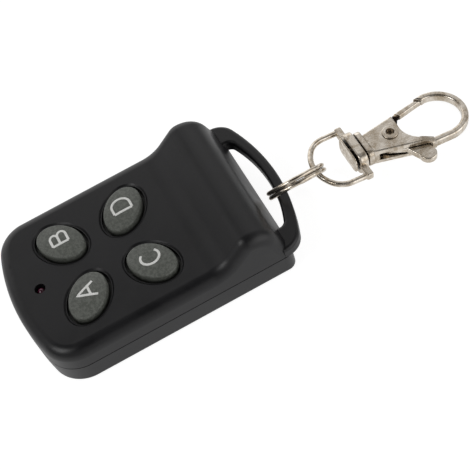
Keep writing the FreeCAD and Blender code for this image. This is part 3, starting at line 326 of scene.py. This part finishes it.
def make_lens_finish():
    """The dark red-violet resin of the signal lamp, with paler flecks in it."""
    material, tree, shader = start_finish("lamp_resin")
    grain = place_group(tree, grain_group, Scale=1800.0)
    feed(tree, shader.inputs["Base Color"], blend_colour(tree, grain["Speckle"], RESIN_DARK, RESIN_FLECK))
    shader.inputs["Roughness"].default_value = 0.12
    shader.inputs["Coat Weight"].default_value = 0.6
    add_bump(tree, shader, grain["Height"], depth=0.004)
    return material


# The nickel's crevice colour is partly tarnished hollows and partly painted shade.
NICKEL = dict(colour=(0.84, 0.765, 0.665), marked=(0.50, 0.42, 0.32), speckled=(0.92, 0.87, 0.79),
              metallic=1.0, tarnish_and_shade=(0.03, 0.020, 0.012))
finishes = {
    "case_plastic": grained(
        "satin_black_case", colour=(0.0022, 0.0022, 0.0032), marked=(0.0034, 0.0034, 0.0046),
        speckled=(0.008, 0.008, 0.010), roughness=0.33, marked_roughness=0.40, grain_scale=5200.0,
        grain_depth=0.007, speckle=0.3, marks_scale=90.0),
    # The keys' crevice colour paints the dark shade in the moats round the keys: painted shade.
    "key_rubber": grained(
        "grey_green_silicone", colour=(0.092, 0.099, 0.086), marked=(0.086, 0.093, 0.080),
        speckled=(0.20, 0.21, 0.19), roughness=0.46, marked_roughness=0.54, grain_scale=4200.0,
        grain_depth=0.04, speckle=0.5, marks_scale=260.0, tarnish_and_shade=(0.012, 0.013, 0.011)),
    "black_nylon": grained(
        "black_nylon", colour=(0.012, 0.012, 0.013), marked=(0.02, 0.02, 0.02), speckled=(0.03, 0.03, 0.03),
        roughness=0.45, marked_roughness=0.6, grain_depth=0.006, speckle=0.3),
    "switch_body": grained(
        "switch_housing", colour=(0.016, 0.016, 0.018), marked=(0.03, 0.03, 0.032),
        speckled=(0.04, 0.04, 0.04), roughness=0.4, marked_roughness=0.55, grain_depth=0.008, speckle=0.3,
        marks_scale=400.0),
    "board_laminate": make_board_finish(),
    "chip_moulding": grained(
        "chip_resin", colour=(0.01, 0.01, 0.011), marked=(0.016, 0.016, 0.017), speckled=(0.03, 0.03, 0.03),
        roughness=0.55, marked_roughness=0.7, grain_scale=6000.0, grain_depth=0.01, speckle=0.5),
    "plated_can": grained(
        "tinned_can", colour=(0.72, 0.72, 0.70), marked=(0.5, 0.49, 0.46), speckled=(0.8, 0.8, 0.78),
        roughness=0.22, marked_roughness=0.4, metallic=1.0, grain_depth=0.003, speckle=0.3,
        marks_scale=500.0, hairlines=0.1),
    "copper_track": grained(
        "tinned_copper", colour=(0.72, 0.42, 0.22), marked=(0.5, 0.26, 0.12), speckled=(0.8, 0.6, 0.4),
        roughness=0.28, marked_roughness=0.45, metallic=1.0, grain_depth=0.003, speckle=0.3,
        marks_scale=500.0),
    "battery_can": make_battery_finish(),
    "contact_strip": grained(
        "spring_contact", colour=(0.74, 0.71, 0.64), marked=(0.5, 0.45, 0.36), speckled=(0.82, 0.8, 0.74),
        roughness=0.25, marked_roughness=0.42, metallic=1.0, grain_depth=0.003, speckle=0.3,
        marks_scale=420.0, hairlines=0.12),
    "lamp_lens": make_lens_finish(),
    "screw_steel": grained(
        "blackened_steel", colour=(0.10, 0.10, 0.105), marked=(0.17, 0.165, 0.16),
        speckled=(0.24, 0.23, 0.22), roughness=0.34, marked_roughness=0.5, metallic=1.0, grain_depth=0.006,
        speckle=0.4, marks_scale=600.0),
    "nickel_wire": grained(
        "drawn_nickel", roughness=0.12, marked_roughness=0.22, grain_scale=2600.0, grain_depth=0.003,
        speckle=0.3, marks_scale=520.0, marks_cover=0.45, hairlines=0.10, **NICKEL),
    "nickel_casting": grained(
        "cast_nickel", roughness=0.15, marked_roughness=0.27, grain_scale=2100.0, grain_depth=0.008,
        speckle=0.45, marks_scale=330.0, marks_cover=0.55, hairlines=0.12, **NICKEL),
    "nickel_rivet": grained(
        "rivet_nickel", roughness=0.18, marked_roughness=0.34, grain_scale=2600.0, grain_depth=0.006,
        speckle=0.35, marks_scale=480.0, marks_cover=0.5, hairlines=0.08, **NICKEL),
}
legend_ink = grained(
    "white_legend_ink", colour=(0.92, 0.92, 0.90), marked=(0.84, 0.85, 0.82), speckled=(0.95, 0.95, 0.94),
    roughness=0.5, marked_roughness=0.62, grain_scale=3600.0, grain_depth=0.02, speckle=0.4,
    marks_scale=500.0)


# Painted shade: a dark patch painted on the trigger lever where the gate arm leaves the cheeks, standing in
# for the shade there.
WAIST_PLACE = Vector((-0.45, -62.73, 3.13)) * MM
WAIST_REACH = 1.9 * MM
WAIST_FULL_SHARE = 0.75
WAIST_PAINTED_SHADE = (0.012, 0.008, 0.006)


def make_lever_shaded_finish(lever):
    """The cast nickel with a dark patch painted where the gate arm leaves the cheeks: painted shade of the
    slot between them.
    """
    material = finishes["nickel_casting"].copy()
    material.name = "nickel_painted_waist_shade"
    tree = material.node_tree
    base = tree.nodes["Principled BSDF"].inputs["Base Color"]
    unshaded = base.links[0].from_socket
    away = tree.nodes.new("ShaderNodeVectorMath")
    away.operation = "DISTANCE"
    feed(tree, away.inputs[0], object_place(tree))
    away.inputs[1].default_value = lever.matrix_world.inverted() @ WAIST_PLACE
    near = map_range(tree, away.outputs["Value"], WAIST_REACH * WAIST_FULL_SHARE, WAIST_REACH,
                     to_low=1.0, to_high=0.0)
    # The lever's colour is painted dark near the waist: painted shade.
    feed(tree, base, blend_colour(tree, near, unshaded, WAIST_PAINTED_SHADE))
    return material


def dress_frame():
    """Gives every node of the frame the finish of its slot, and the trigger lever its painted shade at the
    waist.
    """
    for row in frame["record"]["subparts"]:
        item = nodes[row["node"]]
        finish = finishes[row["material_slot"]]
        if row["node"] == "trigger_lever":
            finish = make_lever_shaded_finish(item)
        item.data.materials.clear()
        item.data.materials.append(finish)


# Pieces that the scene adds

def tube(name, runs, radius, roundness):
    """A mesh of round tubes along runs of points, in millimetres, with closed ends."""
    curve = bpy.data.curves.new(name, "CURVE")
    curve.dimensions = "3D"
    curve.bevel_depth = radius
    curve.bevel_resolution = roundness
    curve.use_fill_caps = True
    for run in runs:
        spline = curve.splines.new("POLY")
        spline.points.add(len(run) - 1)
        for point, place in zip(spline.points, run):
            point.co = (*place, 1)
    holder = bpy.data.objects.new(name + "_path", curve)
    data = bpy.data.meshes.new_from_object(holder)
    bpy.data.objects.remove(holder)
    bpy.data.curves.remove(curve)
    return data


def add_piece(name, data, finish, body):
    """Turns a mesh in millimetres into a piece of the scene that rides with a body of the frame."""
    data.transform(Matrix.Scale(MM, 4))
    data.materials.append(finish)
    data.shade_smooth()
    item = bpy.data.objects.new(name, data)
    bpy.context.scene.collection.objects.link(item)
    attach(item, body)
    return item


# Key legends: plain capitals drawn with one stroke width, lying on the domed keys

LEGEND_HEIGHT = 4.1
LEGEND_WIDTH = 3.9
LEGEND_STROKE = 0.28
LEGEND_THICKNESS = 0.05
LEGEND_ROUNDNESS = 2
LEGEND_SHIFT = 0.55
KEY_DOME_RADIUS = 30.0
STROKE_STEPS = 8
BOW_STEPS = 24


def straight(start, end):
    shares = [step / STROKE_STEPS for step in range(STROKE_STEPS + 1)]
    return [(start[0] + (end[0] - start[0]) * share, start[1] + (end[1] - start[1]) * share)
            for share in shares]


def bow(centre, across, up, first, last):
    """Part of an ellipse, from the first to the last angle in degrees."""
    turns = [math.radians(first + (last - first) * step / BOW_STEPS) for step in range(BOW_STEPS + 1)]
    return [(centre[0] + across * math.cos(turn), centre[1] + up * math.sin(turn)) for turn in turns]


def bowl(start, stem, top, low, bend, reach):
    """The closed side of a B or D: along the top from the start, round the bend and back to the stem."""
    centre = (bend, (top + low) / 2)
    return (straight((start, top), (bend, top)) + bow(centre, reach, (top - low) / 2, 90, -90)[1:]
            + straight((bend, low), (stem, low))[1:])


# Strokes of each letter, in shares of its width and height from its middle
TOP, LOW = 0.5, -0.5
A_FOOT = 0.46
A_BAR_HALF, A_BAR_HEIGHT = 0.3, -0.16
B_STEM, B_TOP, B_WAIST, B_LOW = -0.37, 0.44, 0.02, -0.44
B_UPPER_BEND, B_LOWER_BEND = 0.09, 0.12
B_UPPER_REACH, B_LOWER_REACH = 0.25, 0.28
C_ACROSS, C_REACH, C_MOUTH = 0.02, 0.46, 48
D_STEM, D_BEND, D_REACH = -0.42, -0.02, 0.46
LEGENDS = {
    "a": [straight((-A_FOOT, LOW), (0, TOP)) + straight((0, TOP), (A_FOOT, LOW))[1:],
          straight((-A_BAR_HALF, A_BAR_HEIGHT), (A_BAR_HALF, A_BAR_HEIGHT))],
    "b": [straight((B_STEM, B_LOW), (B_STEM, B_TOP)),
          bowl(B_STEM, B_STEM, B_TOP, B_WAIST, B_UPPER_BEND, B_UPPER_REACH),
          bowl(B_UPPER_BEND, B_STEM, B_WAIST, B_LOW, B_LOWER_BEND, B_LOWER_REACH)],
    "c": [bow((C_ACROSS, 0), C_REACH, TOP, C_MOUTH, FULL_TURN - C_MOUTH)],
    "d": [straight((D_STEM, LOW), (D_STEM, TOP)),
          bowl(D_STEM, D_STEM, TOP, LOW, D_BEND, D_REACH)],
}


def make_legend(letter):
    low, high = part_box("key_" + letter)
    middle_x, middle_y = (low[0] + high[0]) / 2 / MM, (low[1] + high[1]) / 2 / MM
    crown = high[2] / MM
    strokes = [[(x * LEGEND_WIDTH, y * LEGEND_HEIGHT, 0) for x, y in run] for run in LEGENDS[letter]]
    data = tube("legend_" + letter, strokes, LEGEND_STROKE, LEGEND_ROUNDNESS)
    for vertex in data.vertices:
        x, y, z = vertex.co
        x += LEGEND_SHIFT
        drop = (x * x + y * y) / (2 * KEY_DOME_RADIUS)
        vertex.co = (middle_x + x, middle_y + y, crown - drop + z * LEGEND_THICKNESS / LEGEND_STROKE)
    add_piece("legend_" + letter, data, legend_ink, "key_body_" + letter)


# Split ring: two close turns of round wire with one step between them

RING_CENTRE = Vector((-4.1, -37.11, 6.4))
RING_RADIUS = 6.35
RING_WIRE = 0.96
RING_TURN_GAP = 0.07
RING_STEP_ANGLE = 40.0
RING_END_ANGLE = 27.0
RING_LEAN = 54.0
RING_POINTS = 150
RING_ROUNDNESS = 5


def ease(share):
    """A share kept between 0 and 1, with a soft start and end."""
    share = min(max(share, 0), 1)
    return share * share * (3 - 2 * share)


def make_ring():
    pitch = RING_WIRE + RING_TURN_GAP
    first, last = RING_END_ANGLE, 2 * FULL_TURN - RING_END_ANGLE
    step_start = FULL_TURN - RING_STEP_ANGLE / 2
    run = []
    for number in range(RING_POINTS + 1):
        angle = first + (last - first) * number / RING_POINTS
        climb = ease((angle - step_start) / RING_STEP_ANGLE)
        turn = math.radians(angle)
        run.append((RING_RADIUS * math.cos(turn), RING_RADIUS * math.sin(turn), pitch * (climb - 0.5)))
    data = tube("split_ring_wire", [run], RING_WIRE / 2, RING_ROUNDNESS)
    data.transform(Matrix.Translation(RING_CENTRE) @ Matrix.Rotation(math.radians(RING_LEAN), 4, "Y"))
    ring = add_piece("split_ring_wire", data, finishes["nickel_wire"], "ring")
    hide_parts("split_ring")


# Lamp, floor and surroundings

WINDOW_PLACE = Vector((-0.05, 0.40, 0.46))
WINDOW_TARGET = Vector((0, -0.01, 0))
WINDOW_SIDE = 0.28
WINDOW_POWER = 0.9

# Bright patches of the room: azimuth and elevation in degrees, and strength
SKY_PATCHES = ((-60, 50, 0.30), (0, 14, 1.13), (45, 14, 0.36), (90, 14, 0.10), (135, 14, 0.32),
               (180, 14, 0.17), (-135, 14, 1.50), (-90, 14, 0.06), (-45, 14, 0.25))
# The cosines of the angles from a patch's middle at which it starts and is full
PATCH_EDGE, PATCH_MIDDLE = 0.66, 1.0
SKY_TINT = (1.0, 0.99, 0.985)

FLOOR_HALF_SIDE = 2.0
FLOOR_WHITE = 0.9
FLOOR_SEEN = 0.90
FLOOR_MIRRORED = 0.63
FLOOR_SHADE = 0.30


def make_window():
    """The one lamp: a weak soft light from the lamp end."""
    data = bpy.data.lights.new("window", "AREA")
    data.size = WINDOW_SIDE
    data.energy = WINDOW_POWER
    lamp = bpy.data.objects.new("window", data)
    bpy.context.scene.collection.objects.link(lamp)
    aim = (WINDOW_TARGET - WINDOW_PLACE).to_track_quat("-Z", "Y")
    lamp.matrix_world = Matrix.Translation(WINDOW_PLACE) @ aim.to_matrix().to_4x4()


def make_room():
    """A dark room with soft bright patches round its horizon, mostly on the far side of the keys.

    The camera itself sees it as white, where the floor ends.
    """
    world = bpy.data.worlds.new("room")
    world.use_nodes = True
    tree = world.node_tree
    direction = tree.nodes.new("ShaderNodeTexCoord")
    light = 0.0
    for azimuth, elevation, strength in SKY_PATCHES:
        facing = tree.nodes.new("ShaderNodeVectorMath")
        facing.operation = "DOT_PRODUCT"
        middle = Vector((math.cos(math.radians(elevation)), 0, math.sin(math.radians(elevation))))
        middle.rotate(Matrix.Rotation(math.radians(azimuth), 3, "Z"))
        facing.inputs[1].default_value = middle
        feed(tree, facing.inputs[0], direction.outputs["Generated"])
        patch = map_range(tree, facing.outputs["Value"], PATCH_EDGE, PATCH_MIDDLE, to_high=strength)
        light = math_node(tree, "ADD", patch, light)
    path = tree.nodes.new("ShaderNodeLightPath").outputs
    background = tree.nodes["Background"]
    feed(tree, background.inputs["Color"], SKY_TINT)
    feed(tree, background.inputs["Strength"], math_node(tree, "MAXIMUM", light, path["Is Camera Ray"]))
    bpy.context.scene.world = world


def make_floor():
    """A plain floor, white to the camera and greyer in mirror and glass rays, with a soft shadow."""
    mesh = bmesh.new()
    bmesh.ops.create_grid(mesh, x_segments=1, y_segments=1, size=FLOOR_HALF_SIDE)
    data = bpy.data.meshes.new("floor")
    mesh.to_mesh(data)
    mesh.free()
    floor = bpy.data.objects.new("floor", data)
    bpy.context.scene.collection.objects.link(floor)
    material, tree, shader = start_finish("white_floor")
    feed(tree, shader.inputs["Base Color"], (FLOOR_WHITE, FLOOR_WHITE, FLOOR_WHITE))
    shader.inputs["Roughness"].default_value = 0.9
    shader.inputs["Specular IOR Level"].default_value = 0.0
    path = tree.nodes.new("ShaderNodeLightPath").outputs
    seen = math_node(tree, "MAXIMUM", path["Is Camera Ray"], path["Is Glossy Ray"])
    seen = math_node(tree, "MAXIMUM", seen, path["Is Transmission Ray"])
    shade = tree.nodes.new("ShaderNodeBsdfDiffuse")
    feed(tree, shade.inputs["Color"], (FLOOR_SHADE, FLOOR_SHADE, FLOOR_SHADE))
    glow = tree.nodes.new("ShaderNodeEmission")
    brighter = math_node(tree, "MULTIPLY", path["Is Camera Ray"], FLOOR_SEEN - FLOOR_MIRRORED)
    feed(tree, glow.inputs["Strength"], math_node(tree, "ADD", brighter, FLOOR_MIRRORED))
    both = tree.nodes.new("ShaderNodeAddShader")
    feed(tree, both.inputs[0], shade.outputs[0])
    feed(tree, both.inputs[1], glow.outputs[0])
    pick = tree.nodes.new("ShaderNodeMixShader")
    feed(tree, pick.inputs["Fac"], seen)
    feed(tree, pick.inputs[1], shader.outputs[0])
    feed(tree, pick.inputs[2], both.outputs[0])
    feed(tree, tree.nodes["Material Output"].inputs["Surface"], pick.outputs[0])
    data.materials.append(material)


make_camera()
make_room()
make_floor()
make_window()
dress_frame()
make_ring()
for letter in LEGENDS:
    make_legend(letter)

bpy.context.scene.view_settings.view_transform = "Standard"
